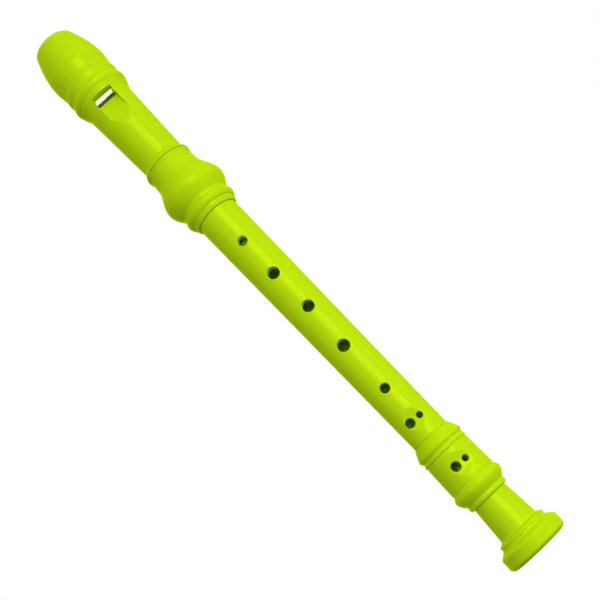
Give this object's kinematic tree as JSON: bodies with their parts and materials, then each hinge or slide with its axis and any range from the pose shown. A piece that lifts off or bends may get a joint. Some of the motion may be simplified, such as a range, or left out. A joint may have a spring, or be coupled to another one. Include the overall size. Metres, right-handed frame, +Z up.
{
  "type": "soprano recorder",
  "caption": "Three-joint plastic soprano recorder with beak and windway, separate block, doubled lowest finger holes and turned foot.",
  "frame": {"origin": "centre of the foot joint's flat end face, on the bore's axis, where the recorder stands upright", "axes": "+Z up along the bore from the foot to the beak; the window and the finger holes face -Y; +X is to the right of someone looking at the finger holes"},
  "size_m": [0.0324, 0.0324, 0.327],
  "materials": {
    "lime_plastic": "opaque lime-green ABS, moulded with a smooth gloss",
    "white_plastic": "white ABS, moulded smooth"
  },
  "bodies": {
    "middle": {"middle_joint": "lime_plastic"},
    "head": {"head_joint": "lime_plastic", "block": "white_plastic", "socket_barrel": "lime_plastic"},
    "foot": {"foot_joint": "lime_plastic"}
  },
  "joints": [
    {"name": "head_slide", "type": "slide", "parent": "middle", "child": "head", "axis": [0, 0, 1], "range_m": [0, 0.0195]},
    {"name": "foot_turn", "type": "hinge", "parent": "middle", "child": "foot", "pos_m": [0, 0, 0.0631], "axis": [0, 0, 1], "continuous": true}
  ]
}
